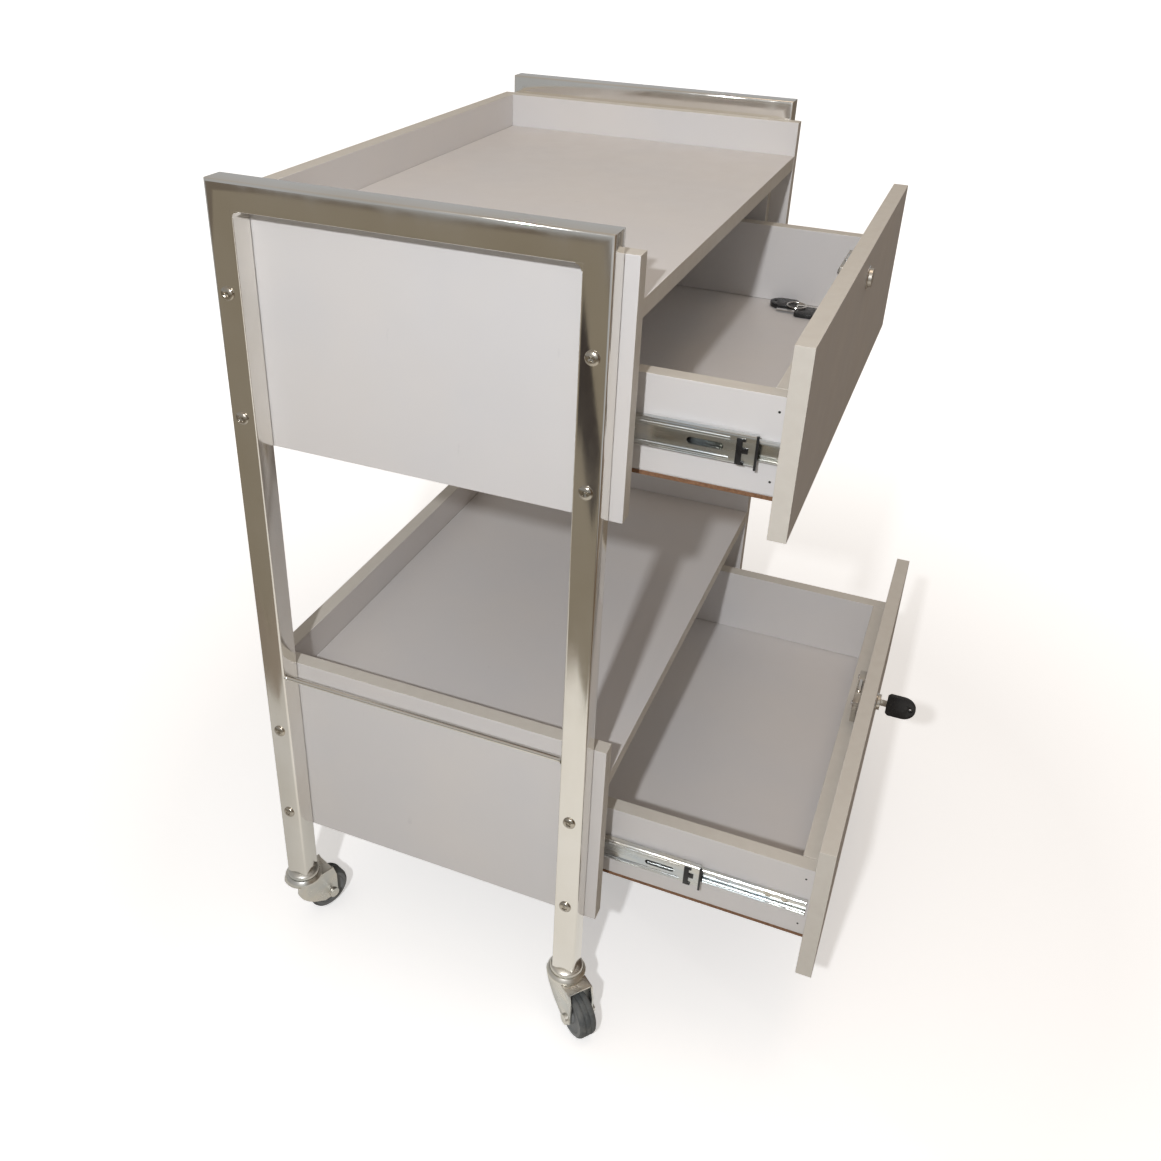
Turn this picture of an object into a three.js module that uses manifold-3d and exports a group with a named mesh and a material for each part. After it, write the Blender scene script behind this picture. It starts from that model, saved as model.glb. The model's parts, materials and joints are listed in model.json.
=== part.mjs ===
import * as THREE from 'three';
import Module from 'manifold-3d';
import { mergeVertices } from 'three/addons/utils/BufferGeometryUtils.js';

const wasm = await Module();
wasm.setup();

// Rolling trolley with two lockable drawers. Millimetres, +Z up, the floor at Z = 0.
// The drawers open towards -Y. Both stand open here, and the frames stand behind the origin
// so that the whole object, with its open drawers and key, is centred on it.

// Tube frames.
const FRAME_WIDTH = 650;
const FRAME_DEPTH = 355;
const FRAME_HEIGHT = 788;
const FRAME_FRONT = -43;
const TUBE = 25;
const TUBE_WALL = 1.5;
const TUBE_CORNER = 6;
const ROD_RADIUS = 2.5;
const ROD_INSET = 3.6;
const ROD_HEIGHT = 363;

// Boards.
const BOARD = 16;
const GAP = 0.3;
const PANEL_HEIGHT = 228;
const PANEL_OVERHANG = 12;
const PANEL_DEPTH = 377;
const UPPER_PANEL_TOP = 846;
const MODULE_STEP = 479.5;
const LIP_HEIGHT = 37.5;
const SPACER_SETBACK = 22;

// Drawers.
const FRONT_HEIGHT = 168;
const FRONT_SIDE_GAP = 1;
const BOX_HALF_WIDTH = 255;
const BOX_LENGTH = 300;
const BOX_HEIGHT = 88.5;
const BOX_DROP = 54;
const BOTTOM_THICKNESS = 4.2;

// Ball-bearing slides.
const SLIDE_LENGTH = 250;
const SLIDE_DROP = 48;
const SLIDE_PLATE = 1.2;
const SLIDE_SETBACK = 22.5;
const DRAWER_SLIDE_SETBACK = 3.5;
const STAGE_TRAVEL = 118;
const CABINET_SLIDE = { height: 35, near: 0.3, far: 9.8 };
const MIDDLE_SLIDE = { height: 27, near: 3.2, far: 10.6 };
const DRAWER_SLIDE = { height: 19, near: 6.2, far: 12.2 };

// Locks.
const LOCK_DROP = 27;
const BARREL_RADIUS = 9;
const BARREL_PROUD = 5;
const PLUG_RADIUS = 6;
const HOUSING = { earWidth: 62, earHeight: 12, caseWidth: 42, height: 36, thickness: 7.5, drop: 12 };
const BOLT = { width: 22, height: 24, thickness: 3.8, rise: 2 };
const KEYWAY = { width: 1.9, height: 9.5, depth: 16 };
const KEY = { blade: 1.3, bladeHeight: 8.5, head: 28, headLength: 32, headThickness: 5, reach: 39 };

// Casters.
const CASTER_HEIGHT = 78;
const WHEEL_RADIUS = 25;
const WHEEL_WIDTH = 20;
const TRAIL = 28;
const AXLE_RADIUS = 4;
const LEG_THICKNESS = 2;
const LEG_INNER = 12.5;
const RACE_RADIUS = 21;
const CAP_RADIUS = 18;
const STEM_RADIUS = 5;
const KINGPIN_RADIUS = 4;

const FRAME_TOP = CASTER_HEIGHT + FRAME_HEIGHT;
const FRAME_BACK = FRAME_FRONT + FRAME_DEPTH;
const OUTER_X = FRAME_WIDTH / 2;
const PANEL_OUTER = OUTER_X - TUBE - GAP;
const PANEL_INNER = PANEL_OUTER - BOARD;
const PANEL_FRONT = FRAME_FRONT - PANEL_OVERHANG;
const PANEL_BACK = PANEL_FRONT + PANEL_DEPTH;
const SPACER_INNER = PANEL_INNER - GAP - BOARD;
const FRONT_BACK_FACE = PANEL_FRONT + BOARD;
const BOX_START = FRONT_BACK_FACE + GAP;

const material = (color, roughness, metalness = 0) =>
  new THREE.MeshStandardMaterial({ color, roughness, metalness });
const CHROME = material(0xc9c7c0, 0.12, 1);
const LAMINATE = material(0xd6d0d3, 0.5);
const HARDBOARD = material(0x6b3f26, 0.75);
const ZINC = material(0xb9bcc0, 0.35, 1);
const BOLT_STEEL = material(0xa7a9aa, 0.35, 1);
const KEY_PLASTIC = material(0x17171a, 0.45);
const CASTER_ZINC = material(0xb4b6b2, 0.35, 1);
const GREY_RUBBER = material(0x6d7275, 0.8);

const group = new THREE.Group();
group.name = 'salon_trolley';

function add(name, geometry, look) {
  const mesh = new THREE.Mesh(geometry, look);
  mesh.name = name;
  group.add(mesh);
}

// ---- Solid helpers ----

function boxGeometry([x0, x1], [y0, y1], [z0, z1]) {
  const geometry = new THREE.BoxGeometry(x1 - x0, y1 - y0, z1 - z0);
  geometry.translate((x0 + x1) / 2, (y0 + y1) / 2, (z0 + z1) / 2);
  return geometry;
}

function toSolid(geometry) {
  const bare = geometry.clone();
  bare.deleteAttribute('normal');
  bare.deleteAttribute('uv');
  const merged = mergeVertices(bare, 1e-4);
  return new wasm.Manifold(new wasm.Mesh({
    numProp: 3,
    vertProperties: new Float32Array(merged.attributes.position.array),
    triVerts: new Uint32Array(merged.index.array),
  }));
}

function toGeometry(solid) {
  const mesh = solid.getMesh();
  const geometry = new THREE.BufferGeometry();
  geometry.setAttribute('position', new THREE.BufferAttribute(new Float32Array(mesh.vertProperties), 3));
  geometry.setIndex(new THREE.BufferAttribute(new Uint32Array(mesh.triVerts), 1));
  geometry.computeVertexNormals();
  return geometry;
}

const boxSolid = (xs, ys, zs) => toSolid(boxGeometry(xs, ys, zs));

// A cylinder lying along Y from y0 to y1.
function cylinderAlongY(radius, x, z, y0, y1, sides = 32) {
  const geometry = new THREE.CylinderGeometry(radius, radius, y1 - y0, sides);
  geometry.translate(x, (y0 + y1) / 2, z);
  return geometry;
}

// An outline drawn in (Y, Z), extruded along X from x0 to x1.
function extrudeAlongX(shape, x0, x1) {
  const geometry = new THREE.ExtrudeGeometry(shape, { depth: x1 - x0, bevelEnabled: false, curveSegments: 6 });
  const turn = new THREE.Matrix4().makeBasis(
    new THREE.Vector3(0, 1, 0), new THREE.Vector3(0, 0, 1), new THREE.Vector3(1, 0, 0));
  geometry.applyMatrix4(turn);
  geometry.translate(x0, 0, 0);
  return geometry;
}

// An outline drawn in (X, Z), extruded along Y from y0 to y1.
function extrudeAlongY(shape, y0, y1) {
  const geometry = new THREE.ExtrudeGeometry(shape, { depth: y1 - y0, bevelEnabled: false, curveSegments: 6 });
  geometry.rotateX(Math.PI / 2);
  geometry.translate(0, y1, 0);
  return geometry;
}

// A lathe round the vertical line through (x, y); profile points are [radius, z].
function lathe(profile, x, y, sides = 32) {
  const geometry = new THREE.LatheGeometry(profile.map(([r, z]) => new THREE.Vector2(r, z)), sides);
  geometry.rotateX(Math.PI / 2);
  geometry.translate(x, y, 0);
  return geometry;
}

// ---- Side frames: an upside-down U of square tube, with a thin rod between its posts ----

function archShape(front, back, bottom, top, thickness, corner) {
  const shape = new THREE.Shape();
  shape.moveTo(front, bottom);
  shape.lineTo(front + thickness, bottom);
  shape.lineTo(front + thickness, top - thickness);
  shape.lineTo(back - thickness, top - thickness);
  shape.lineTo(back - thickness, bottom);
  shape.lineTo(back, bottom);
  shape.lineTo(back, top - corner);
  shape.absarc(back - corner, top - corner, corner, 0, Math.PI / 2, false);
  shape.lineTo(front + corner, top);
  shape.absarc(front + corner, top - corner, corner, Math.PI / 2, Math.PI, false);
  shape.closePath();
  return shape;
}

function sideFrame(name, side) {
  const [x0, x1] = side < 0 ? [-OUTER_X, -OUTER_X + TUBE] : [OUTER_X - TUBE, OUTER_X];
  const outer = archShape(FRAME_FRONT, FRAME_BACK, CASTER_HEIGHT, FRAME_TOP, TUBE, TUBE_CORNER);
  const inner = archShape(FRAME_FRONT + TUBE_WALL, FRAME_BACK - TUBE_WALL, CASTER_HEIGHT - 1,
    FRAME_TOP - TUBE_WALL, TUBE - 2 * TUBE_WALL, TUBE_CORNER - TUBE_WALL);
  const tube = toSolid(extrudeAlongX(outer, x0, x1))
    .subtract(toSolid(extrudeAlongX(inner, x0 + TUBE_WALL, x1 - TUBE_WALL)));
  const rodX = side * (OUTER_X - ROD_INSET);
  const rod = toSolid(cylinderAlongY(ROD_RADIUS, rodX, ROD_HEIGHT,
    FRAME_FRONT + TUBE - TUBE_WALL / 2, FRAME_BACK - TUBE + TUBE_WALL / 2, 12));
  add(name, toGeometry(tube.add(rod)), CHROME);
}

// ---- Cabinet boards: side panels, spacers, back panel and the top board of each drawer box ----

function cabinetBox(module, boardName) {
  const { name, top } = module;
  const bottom = top - PANEL_HEIGHT;
  const boardTop = top - LIP_HEIGHT;
  const boardBottom = boardTop - BOARD;
  for (const [sideName, side] of [['left', -1], ['right', 1]]) {
    const panelX = side < 0 ? [-PANEL_OUTER, -PANEL_INNER] : [PANEL_INNER, PANEL_OUTER];
    add(`${name}_${sideName}_panel`, boxGeometry(panelX, [PANEL_FRONT, PANEL_BACK], [bottom, top]), LAMINATE);
    const spacerX = side < 0
      ? [-PANEL_INNER + GAP, -SPACER_INNER] : [SPACER_INNER, PANEL_INNER - GAP];
    add(`${name}_${sideName}_spacer`, boxGeometry(spacerX,
      [PANEL_FRONT + SPACER_SETBACK, PANEL_BACK - BOARD - GAP], [bottom, boardBottom - GAP]), LAMINATE);
  }
  const between = [-PANEL_INNER + GAP, PANEL_INNER - GAP];
  add(`${name}_back_panel`, boxGeometry(between, [PANEL_BACK - BOARD, PANEL_BACK], [bottom, top]), LAMINATE);

  // The board has a small mortise underneath that the lock's bolt rises into.
  const board = boxSolid(between, [PANEL_FRONT + GAP, PANEL_BACK - BOARD - GAP], [boardBottom, boardTop]);
  const boltY = FRONT_BACK_FACE + GAP + HOUSING.thickness / 2;
  const mortise = boxSolid([-BOLT.width / 2 - 1, BOLT.width / 2 + 1],
    [boltY - BOLT.thickness / 2 - 1, boltY + BOLT.thickness / 2 + 1], [boardBottom - 1, boardBottom + 9]);
  add(boardName, toGeometry(board.subtract(mortise)), LAMINATE);
}

// ---- Ball-bearing slides: three channels, one inside the other ----

// A channel section in (X, Z). Its web stands at `web`, and its flanges reach to `edge`.
function channelShape(web, edge, height, z) {
  const inward = Math.sign(edge - web);
  const half = height / 2;
  const lip = 1.4;
  const points = [
    [web, -half], [edge, -half], [edge, -half + SLIDE_PLATE + lip],
    [edge - inward * SLIDE_PLATE, -half + SLIDE_PLATE + lip],
    [edge - inward * SLIDE_PLATE, -half + SLIDE_PLATE],
    [web + inward * SLIDE_PLATE, -half + SLIDE_PLATE],
    [web + inward * SLIDE_PLATE, half - SLIDE_PLATE],
    [edge - inward * SLIDE_PLATE, half - SLIDE_PLATE],
    [edge - inward * SLIDE_PLATE, half - SLIDE_PLATE - lip],
    [edge, half - SLIDE_PLATE - lip], [edge, half], [web, half],
  ];
  return new THREE.Shape(points.map(([x, dz]) => new THREE.Vector2(x, z + dz)));
}

function slide(name, side, slideZ, opening) {
  const from = -side;
  const base = side * SPACER_INNER;
  const start = PANEL_FRONT + SLIDE_SETBACK;
  const cabinet = channelShape(base + from * CABINET_SLIDE.near, base + from * CABINET_SLIDE.far,
    CABINET_SLIDE.height, slideZ);
  add(`${name}_cabinet_channel`, extrudeAlongY(cabinet, start, start + SLIDE_LENGTH), ZINC);
  const middle = channelShape(base + from * MIDDLE_SLIDE.near, base + from * MIDDLE_SLIDE.far,
    MIDDLE_SLIDE.height, slideZ);
  const middleStart = start - 1 - STAGE_TRAVEL;
  add(`${name}_middle_channel`, extrudeAlongY(middle, middleStart, middleStart + SLIDE_LENGTH), ZINC);
  const drawer = channelShape(base + from * DRAWER_SLIDE.far, base + from * DRAWER_SLIDE.near,
    DRAWER_SLIDE.height, slideZ);
  const drawerStart = FRONT_BACK_FACE + DRAWER_SLIDE_SETBACK - opening;
  add(`${name}_drawer_channel`, extrudeAlongY(drawer, drawerStart, drawerStart + SLIDE_LENGTH), ZINC);
}

// ---- Drawers ----

function drawer(module) {
  const { name, frontTop, opening } = module;
  const boxTop = frontTop - BOX_DROP;
  const boxBottom = boxTop - BOX_HEIGHT;
  const lockZ = frontTop - LOCK_DROP;
  const start = BOX_START - opening;
  const end = start + BOX_LENGTH;
  const frontHalf = PANEL_INNER - FRONT_SIDE_GAP;

  const front = boxSolid([-frontHalf, frontHalf], [PANEL_FRONT - opening, FRONT_BACK_FACE - opening],
    [frontTop - FRONT_HEIGHT, frontTop]);
  const hole = toSolid(cylinderAlongY(BARREL_RADIUS + GAP, 0, lockZ,
    PANEL_FRONT - opening - 1, FRONT_BACK_FACE - opening + 1));
  add(`${name}_drawer_front`, toGeometry(front.subtract(hole)), LAMINATE);

  const inner = BOX_HALF_WIDTH - BOARD;
  const walls = [boxBottom, boxTop];
  add(`${name}_drawer_left_side`, boxGeometry([-BOX_HALF_WIDTH, -inner], [start, end], walls), LAMINATE);
  add(`${name}_drawer_right_side`, boxGeometry([inner, BOX_HALF_WIDTH], [start, end], walls), LAMINATE);
  const across = [-inner + GAP, inner - GAP];
  add(`${name}_drawer_inner_front`, boxGeometry(across, [start, start + BOARD], walls), LAMINATE);
  add(`${name}_drawer_back`, boxGeometry(across, [end - BOARD, end], walls), LAMINATE);
  add(`${name}_drawer_bottom`, boxGeometry([-BOX_HALF_WIDTH, BOX_HALF_WIDTH], [start, end],
    [boxBottom - GAP - BOTTOM_THICKNESS, boxBottom - GAP]), HARDBOARD);

  const slideZ = boxTop - SLIDE_DROP;
  slide(`${name}_left`, -1, slideZ, opening);
  slide(`${name}_right`, 1, slideZ, opening);
}

// ---- Locks: an eared housing with its barrel, a bolt that rises out of it, and the key's plug ----

function lock(module) {
  const { name, frontTop, opening } = module;
  const lockZ = frontTop - LOCK_DROP;
  const face = FRONT_BACK_FACE + GAP - opening;
  const faceTop = frontTop - HOUSING.drop;
  const barrelFront = PANEL_FRONT - opening - BARREL_PROUD;
  const boltY = face + HOUSING.thickness / 2;
  const slot = { half: BOLT.width / 2 + GAP, depth: BOLT.thickness / 2 + GAP };

  const boltTop = faceTop + BOLT.rise;
  const depth = [face, face + HOUSING.thickness];
  const ears = boxSolid([-HOUSING.earWidth / 2, HOUSING.earWidth / 2], depth,
    [faceTop - HOUSING.earHeight, faceTop]);
  const lockCase = boxSolid([-HOUSING.caseWidth / 2, HOUSING.caseWidth / 2], depth,
    [faceTop - HOUSING.height, faceTop]);
  const barrel = toSolid(cylinderAlongY(BARREL_RADIUS, 0, lockZ, barrelFront, face + 1));
  const boltSlot = boxSolid([-slot.half, slot.half], [boltY - slot.depth, boltY + slot.depth],
    [boltTop - BOLT.height - 1, faceTop + 1]);
  const plugEnd = boltY - slot.depth - 1;
  const bore = toSolid(cylinderAlongY(PLUG_RADIUS + GAP, 0, lockZ, barrelFront - 1, plugEnd));
  const housing = ears.add(lockCase).add(barrel).subtract(boltSlot).subtract(bore);
  add(`${name}_lock_housing`, toGeometry(housing), ZINC);

  add(`${name}_lock_bolt`, boxGeometry([-BOLT.width / 2, BOLT.width / 2],
    [boltY - BOLT.thickness / 2, boltY + BOLT.thickness / 2], [boltTop - BOLT.height, boltTop]), BOLT_STEEL);

  const plug = toSolid(cylinderAlongY(PLUG_RADIUS, 0, lockZ, barrelFront, plugEnd - GAP));
  const keyway = boxSolid([-KEYWAY.width / 2, KEYWAY.width / 2], [barrelFront - 1, barrelFront + KEYWAY.depth],
    [lockZ - KEYWAY.height / 2, lockZ + KEYWAY.height / 2]);
  add(`${name}_lock_plug`, toGeometry(plug.subtract(keyway)), BOLT_STEEL);
  return { lockZ, barrelFront };
}

// ---- Keys: a flat steel blade in a black head, straight across one end and round at the other ----

// The key is drawn with its blade along +Y, its head towards -Y and its tip at y = 0,
// flat in the YZ plane, so the head's thickness is along X.
function keySolid() {
  const half = KEY.head / 2;
  const headTop = -KEY.reach + KEY.headLength;
  const head = new THREE.Shape();
  head.moveTo(headTop, -half + 3);
  head.lineTo(headTop, half - 3);
  head.lineTo(headTop - 3, half);
  head.lineTo(-KEY.reach + half, half);
  head.absarc(-KEY.reach + half, 0, half, Math.PI / 2, Math.PI * 1.5, false);
  head.lineTo(headTop - 3, -half);
  head.closePath();
  const hole = new THREE.Path();
  hole.absarc(-KEY.reach + 6, 0, 2.2, 0, Math.PI * 2, true);
  head.holes.push(hole);
  const headSolid = toSolid(extrudeAlongX(head, -KEY.headThickness / 2, KEY.headThickness / 2));
  const blade = boxSolid([-KEY.blade / 2, KEY.blade / 2], [headTop - 2, KEYWAY.depth - 1],
    [-KEY.bladeHeight / 2, KEY.bladeHeight / 2]);
  return headSolid.add(blade);
}

function keyInLock(name, { lockZ, barrelFront }) {
  const key = toGeometry(keySolid());
  key.translate(0, barrelFront, lockZ);
  add(name, key, KEY_PLASTIC);
}

// Two spare keys lie flat and head to tail on the drawer's floor, with their ring on top.
function spareKeys(module) {
  const floor = module.frontTop - BOX_DROP - BOX_HEIGHT + GAP;
  const keys = [
    { name: 'spare_key_1', x: 222.5, y: -99, turn: 180 },
    { name: 'spare_key_2', x: 203, y: -87, turn: 0 },
  ];
  for (const { name, x, y, turn } of keys) {
    const key = toGeometry(keySolid());
    key.rotateY(Math.PI / 2);
    key.rotateZ(THREE.MathUtils.degToRad(turn));
    key.translate(x, y, floor + KEY.headThickness / 2);
    add(name, key, KEY_PLASTIC);
  }
  const wire = 0.9;
  const ring = new THREE.TorusGeometry(11, wire, 8, 28);
  ring.translate(213, -93, floor + KEY.headThickness + GAP + wire);
  add('spare_key_ring', ring, BOLT_STEEL);
}

// ---- Casters: a fixed stem with its race cap, a swivelling fork with the axle, and the wheel ----

function casterStem(name, x, y) {
  const top = CASTER_HEIGHT - GAP;
  const forkTop = 70;
  const forkUnder = 60.5;
  const profile = [
    [0, forkUnder - 3], [7, forkUnder - 3], [7, forkUnder - GAP], [KINGPIN_RADIUS, forkUnder - GAP],
    [KINGPIN_RADIUS, forkTop + GAP], [CAP_RADIUS - 1, forkTop + GAP], [CAP_RADIUS, forkTop + 2],
    [CAP_RADIUS - 1, top - 3], [CAP_RADIUS - 4, top - 1], [CAP_RADIUS - 7, top], [STEM_RADIUS, top],
    [STEM_RADIUS, top + 40], [0, top + 40],
  ];
  const insert = TUBE / 2 - TUBE_WALL - GAP;
  const plug = boxSolid([x - insert, x + insert], [y - insert, y + insert], [top + 2, top + 32]);
  add(name, toGeometry(toSolid(lathe(profile, x, y)).add(plug)), CASTER_ZINC);
}

// The fork is built with its trail along +X and then turned about the stem.
function casterFork() {
  const race = toSolid(lathe([
    [KINGPIN_RADIUS + GAP, 62], [RACE_RADIUS - 2, 62], [RACE_RADIUS, 64], [RACE_RADIUS, 66.5],
    [RACE_RADIUS - 2.5, 70], [KINGPIN_RADIUS + GAP, 70], [KINGPIN_RADIUS + GAP, 62],
  ], 0, 0, 40));
  const legOuter = LEG_INNER + LEG_THICKNESS;
  const pinHole = toSolid(lathe([
    [0, 58], [KINGPIN_RADIUS + GAP, 58], [KINGPIN_RADIUS + GAP, 64], [0, 64]], 0, 0, 40));
  const bridge = boxSolid([-15, 30], [-legOuter, legOuter], [60.5, 62.5]).subtract(pinHole);
  const leg = new THREE.Shape();
  leg.moveTo(-17, 62.5);
  leg.lineTo(-18, 55);
  leg.quadraticCurveTo(-15, 40, 2, 27);
  leg.lineTo(16, 18.5);
  leg.lineTo(TRAIL + 4, 18.5);
  leg.lineTo(TRAIL + 7, 22);
  leg.lineTo(TRAIL + 7, 48);
  leg.lineTo(31, 62.5);
  leg.closePath();
  const plate = (y0, y1) => toSolid(extrudeAlongY(leg, y0, y1));
  const axle = toSolid(cylinderAlongY(AXLE_RADIUS, TRAIL, WHEEL_RADIUS, -legOuter, legOuter, 24));
  const nut = toSolid(cylinderAlongY(6, TRAIL, WHEEL_RADIUS, legOuter - 0.5, legOuter + 4, 6));
  const head = toSolid(cylinderAlongY(6, TRAIL, WHEEL_RADIUS, -legOuter - 3.5, -legOuter + 0.5, 24));
  return race.add(bridge)
    .add(plate(-legOuter, -LEG_INNER)).add(plate(LEG_INNER, legOuter))
    .add(axle).add(nut).add(head);
}

// The wheel, built along the axle: a ribbed grey tread on a narrower hub.
function casterWheel() {
  const bore = AXLE_RADIUS + GAP;
  const half = WHEEL_WIDTH / 2;
  const hubHalf = 11.5;
  const groove = WHEEL_RADIUS - 1;
  const profile = [
    [bore, -hubHalf], [7.5, -hubHalf], [8, -half + 1.5], [17, -half + 1.5], [18, -half],
    [WHEEL_RADIUS - 3, -half], [WHEEL_RADIUS - 1, -half + 1.5], [WHEEL_RADIUS, -half + 4],
    [WHEEL_RADIUS, -4], [groove, -3.5], [groove, -2.5], [WHEEL_RADIUS, -2],
    [WHEEL_RADIUS, 2], [groove, 2.5], [groove, 3.5], [WHEEL_RADIUS, 4],
    [WHEEL_RADIUS, half - 4], [WHEEL_RADIUS - 1, half - 1.5], [WHEEL_RADIUS - 3, half], [18, half],
    [17, half - 1.5], [8, half - 1.5], [7.5, hubHalf], [bore, hubHalf], [bore, -hubHalf],
  ];
  const geometry = new THREE.LatheGeometry(profile.map(([r, s]) => new THREE.Vector2(r, s)), 40);
  return geometry;
}

function caster(name, x, y, heading) {
  casterStem(`${name}_caster_stem`, x, y);
  const angle = THREE.MathUtils.degToRad(heading);
  const fork = toGeometry(casterFork());
  fork.rotateZ(angle);
  fork.translate(x, y, 0);
  add(`${name}_caster_fork`, fork, CASTER_ZINC);
  const wheel = casterWheel();
  wheel.translate(TRAIL, 0, WHEEL_RADIUS);
  wheel.rotateZ(angle);
  wheel.translate(x, y, 0);
  add(`${name}_caster_wheel`, wheel, GREY_RUBBER);
}

// ---- Assembly ----

const upperBoardBottom = UPPER_PANEL_TOP - LIP_HEIGHT - BOARD;
const modules = {
  upper: { name: 'upper', top: UPPER_PANEL_TOP, frontTop: upperBoardBottom - 1.5, opening: 133.4 },
  lower: { name: 'lower', top: UPPER_PANEL_TOP - MODULE_STEP,
    frontTop: upperBoardBottom - MODULE_STEP - 4.5, opening: 223 },
};

sideFrame('left_side_frame', -1);
sideFrame('right_side_frame', 1);
cabinetBox(modules.upper, 'top_tray_board');
cabinetBox(modules.lower, 'middle_shelf_board');
drawer(modules.upper);
drawer(modules.lower);
lock(modules.upper);
keyInLock('lock_key', lock(modules.lower));
spareKeys(modules.upper);

const postX = OUTER_X - TUBE / 2;
const frontPostY = FRAME_FRONT + TUBE / 2;
const backPostY = FRAME_BACK - TUBE / 2;
caster('front_left', -postX, frontPostY, -129);
caster('front_right', postX, frontPostY, -51);
caster('back_left', -postX, backPostY, -22);
caster('back_right', postX, backPostY, -140);

export default group;
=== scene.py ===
import json
import math
import random

import bmesh
import bpy
from mathutils import Matrix, Vector


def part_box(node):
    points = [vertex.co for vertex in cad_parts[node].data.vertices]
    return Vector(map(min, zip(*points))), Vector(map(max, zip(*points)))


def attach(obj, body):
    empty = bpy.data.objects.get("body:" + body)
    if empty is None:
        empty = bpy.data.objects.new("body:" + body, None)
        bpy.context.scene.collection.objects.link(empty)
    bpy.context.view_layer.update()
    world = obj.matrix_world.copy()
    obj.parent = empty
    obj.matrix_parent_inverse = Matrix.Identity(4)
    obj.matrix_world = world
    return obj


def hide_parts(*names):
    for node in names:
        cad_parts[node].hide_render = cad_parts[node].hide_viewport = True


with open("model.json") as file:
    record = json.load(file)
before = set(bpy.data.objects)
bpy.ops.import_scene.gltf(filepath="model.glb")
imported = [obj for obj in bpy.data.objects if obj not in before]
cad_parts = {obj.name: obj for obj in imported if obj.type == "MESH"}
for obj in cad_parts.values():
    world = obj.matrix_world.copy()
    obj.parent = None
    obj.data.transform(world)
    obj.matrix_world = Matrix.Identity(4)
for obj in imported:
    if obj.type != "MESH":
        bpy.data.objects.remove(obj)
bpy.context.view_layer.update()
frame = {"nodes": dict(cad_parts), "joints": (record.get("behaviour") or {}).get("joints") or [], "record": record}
NODES = frame["nodes"]
MM = 0.001
X, Y, Z = 0, 1, 2
random.seed(7)


# ---------------------------------------------------------------- materials

class Look:
    """A node material under construction: a Principled shader and short ways to feed it."""

    def __init__(self, name, **inputs):
        self.material = bpy.data.materials.new(name)
        self.material.use_nodes = True
        self.tree = self.material.node_tree
        self.shader = self.tree.nodes["Principled BSDF"]
        for key, value in inputs.items():
            self.shader.inputs[key.replace("_", " ")].default_value = value
        coords = self.tree.nodes.new("ShaderNodeTexCoord")
        self.place = coords.outputs["Object"]
        self.height = None

    def node(self, kind, **settings):
        made = self.tree.nodes.new(kind)
        for key, value in settings.items():
            if isinstance(value, bpy.types.NodeSocket):
                self.tree.links.new(value, made.inputs[key])
            elif key in made.inputs:
                made.inputs[key].default_value = value
            else:
                setattr(made, key, value)
        return made

    def stretched(self, scale):
        mapping = self.node("ShaderNodeMapping", Vector=self.place)
        mapping.inputs["Scale"].default_value = scale
        return mapping.outputs[0]

    def noise(self, scale, detail=4, stretch=(1, 1, 1), roughness=0.5):
        return self.node("ShaderNodeTexNoise", Vector=self.stretched(stretch), Scale=scale,
                         Detail=detail, Roughness=roughness).outputs["Fac"]

    def remap(self, value, low, high, from_low=0.35, from_high=0.65):
        made = self.node("ShaderNodeMapRange", Value=value)
        made.inputs["From Min"].default_value = from_low
        made.inputs["From Max"].default_value = from_high
        made.inputs["To Min"].default_value = low
        made.inputs["To Max"].default_value = high
        return made.outputs[0]

    def tint(self, factor, color_a, color_b):
        made = self.node("ShaderNodeMix", data_type="RGBA")
        self.tree.links.new(factor, made.inputs[0])
        self.set_or_link(made.inputs[6], color_a)
        self.set_or_link(made.inputs[7], color_b)
        return made.outputs[2]

    def set_or_link(self, socket, value):
        if isinstance(value, bpy.types.NodeSocket):
            self.tree.links.new(value, socket)
        else:
            socket.default_value = (*value, 1)

    def feed(self, key, value):
        self.tree.links.new(value, self.shader.inputs[key])

    def bump(self, height, strength, distance):
        made = self.node("ShaderNodeBump", Height=height)
        made.inputs["Strength"].default_value = strength
        made.inputs["Distance"].default_value = distance
        if self.height is not None:
            self.tree.links.new(self.height, made.inputs["Normal"])
        self.height = made.outputs[0]
        self.feed("Normal", self.height)


def laminate(name, base, warm):
    """Melamine board: a nearly even pale face, faintly mottled, with a fine pressed texture."""
    look = Look(name, Roughness=0.42, IOR=1.48)
    cloud = look.remap(look.noise(7, 3), 0, 1)
    color = look.tint(cloud, base, warm)
    scuff = look.remap(look.noise(60, 8, (1, 1, 0.3), 0.7), 0, 1, 0.66, 0.8)
    color = look.tint(scuff, color, tuple(0.86 * c for c in base))
    look.feed("Base Color", color)
    look.feed("Roughness", look.remap(look.noise(35, 6), 0.36, 0.5))
    look.bump(look.noise(1400, 3), 0.12, 0.0004)
    look.bump(look.noise(11, 2), 0.15, 0.0012)
    return look.material


def edge_band(name):
    """The beige band glued round a board's edge, a little duller and warmer than its faces."""
    look = Look(name, Roughness=0.5, IOR=1.46)
    grain = look.remap(look.noise(90, 3), 0, 1, 0.2, 0.8)
    look.feed("Base Color", look.tint(grain, (0.64, 0.605, 0.545), (0.68, 0.65, 0.59)))
    look.feed("Roughness", look.remap(look.noise(80, 4), 0.42, 0.6))
    look.bump(look.noise(900, 3), 0.2, 0.0004)
    return look.material


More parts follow.
